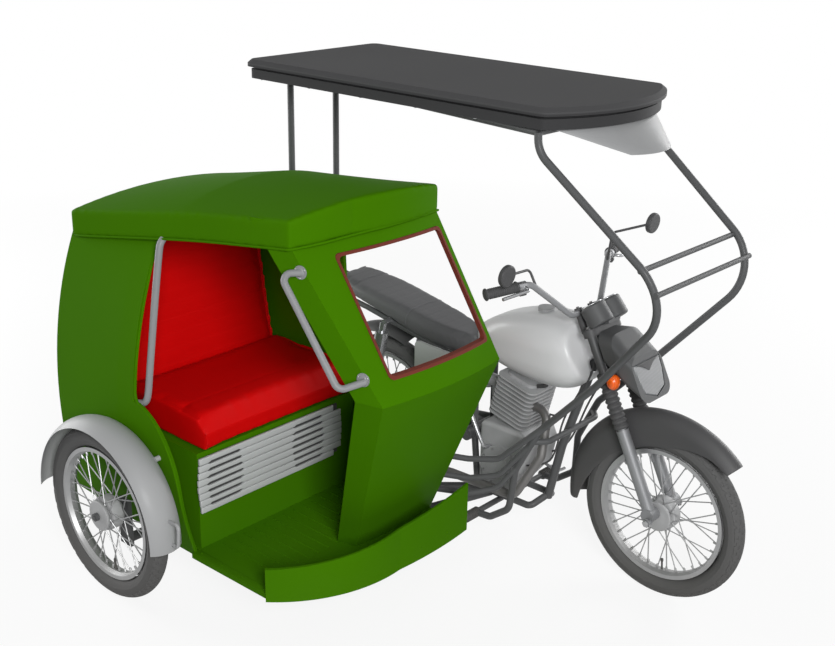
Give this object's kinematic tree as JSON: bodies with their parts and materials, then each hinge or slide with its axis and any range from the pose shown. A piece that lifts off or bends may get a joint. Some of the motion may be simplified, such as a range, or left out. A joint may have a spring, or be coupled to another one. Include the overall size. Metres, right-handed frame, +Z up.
{
  "type": "motorcycle with covered passenger sidecar",
  "caption": "Light motorcycle with a covered passenger sidecar on its right, a bench seat inside, and a canopy over the rider; wheels roll and the fork steers.",
  "frame": {"origin": "middle of the footprint's box, on the ground", "axes": "+X forward, +Y to the vehicle's left, +Z up"},
  "size_m": [2.135, 1.796, 1.715],
  "materials": {
    "green_paint": "gloss",
    "black_paint": "satin",
    "silver_paint": "gloss",
    "grey_paint": "satin",
    "cast_alloy": "cast",
    "chrome": "polished",
    "tyre_rubber": "matte",
    "black_rubber": "matte",
    "black_plastic": "matte",
    "grey_plastic": "satin",
    "red_vinyl": "satin",
    "dark_vinyl": "matte",
    "lamp_lens": "clear",
    "amber_lens": "clear",
    "red_lens": "clear",
    "brown_rubber": "satin",
    "white_paint": "satin"
  },
  "bodies": {
    "chassis": {"cab_floor": "green_paint", "cab_front_panel": "green_paint", "cab_left_panel": "green_paint", "cab_nose": "green_paint", "cab_rear_panel": "green_paint", "cab_roof": "green_paint", "cab_side_panel": "green_paint", "cab_skirt": "green_paint", "canopy_frame": "grey_paint", "canopy_roof": "black_plastic", "canopy_visor": "grey_plastic", "crash_bar": "black_paint", "engine": "cast_alloy", "exhaust": "chrome", "fuel_tank": "silver_paint", "grab_handle": "silver_paint", "grab_pole": "silver_paint", "moto_frame": "black_paint", "rear_mudguard": "black_plastic", "rear_shocks": "chrome", "saddle": "dark_vinyl", "seat_back": "red_vinyl", "seat_box": "green_paint", "seat_cushion": "red_vinyl", "seat_grille": "white_paint", "side_covers": "silver_paint", "sidecar_chassis": "black_paint", "sidecar_mudguard": "grey_paint", "swingarm": "black_paint", "tail_lamp": "red_lens", "tank_cap": "chrome", "window_seal": "brown_rubber"},
    "steering": {"fork_legs": "cast_alloy", "fork_yokes": "black_paint", "fork_gaiters": "black_rubber", "front_mudguard": "black_plastic", "headlamp_shell": "black_plastic", "headlamp_lens": "lamp_lens", "gauges": "black_plastic", "handlebar": "grey_paint", "grips": "black_rubber", "levers": "cast_alloy", "mirrors": "black_plastic", "indicators": "amber_lens"},
    "front_wheel_body": {"front_wheel": "chrome", "front_tyre": "tyre_rubber"},
    "rear_wheel_body": {"rear_wheel": "chrome", "rear_tyre": "tyre_rubber"},
    "sidecar_wheel_body": {"sidecar_wheel": "chrome", "sidecar_tyre": "tyre_rubber"}
  },
  "joints": [
    {"name": "steering_turn", "type": "hinge", "parent": "chassis", "child": "steering", "pos_m": [0.72349, 0.485, 0.29304], "axis": [-0.4462, 0, 0.8949], "range_deg": [-35, 35]},
    {"name": "front_wheel_spin", "type": "hinge", "parent": "steering", "child": "front_wheel_body", "pos_m": [0.7575, 0.485, 0.31], "axis": [0, 1, 0], "continuous": true},
    {"name": "rear_wheel_spin", "type": "hinge", "parent": "chassis", "child": "rear_wheel_body", "pos_m": [-0.5275, 0.485, 0.31], "axis": [0, 1, 0], "continuous": true},
    {"name": "sidecar_wheel_spin", "type": "hinge", "parent": "chassis", "child": "sidecar_wheel_body", "pos_m": [-0.6275, -0.835, 0.31], "axis": [0, 1, 0], "continuous": true}
  ]
}
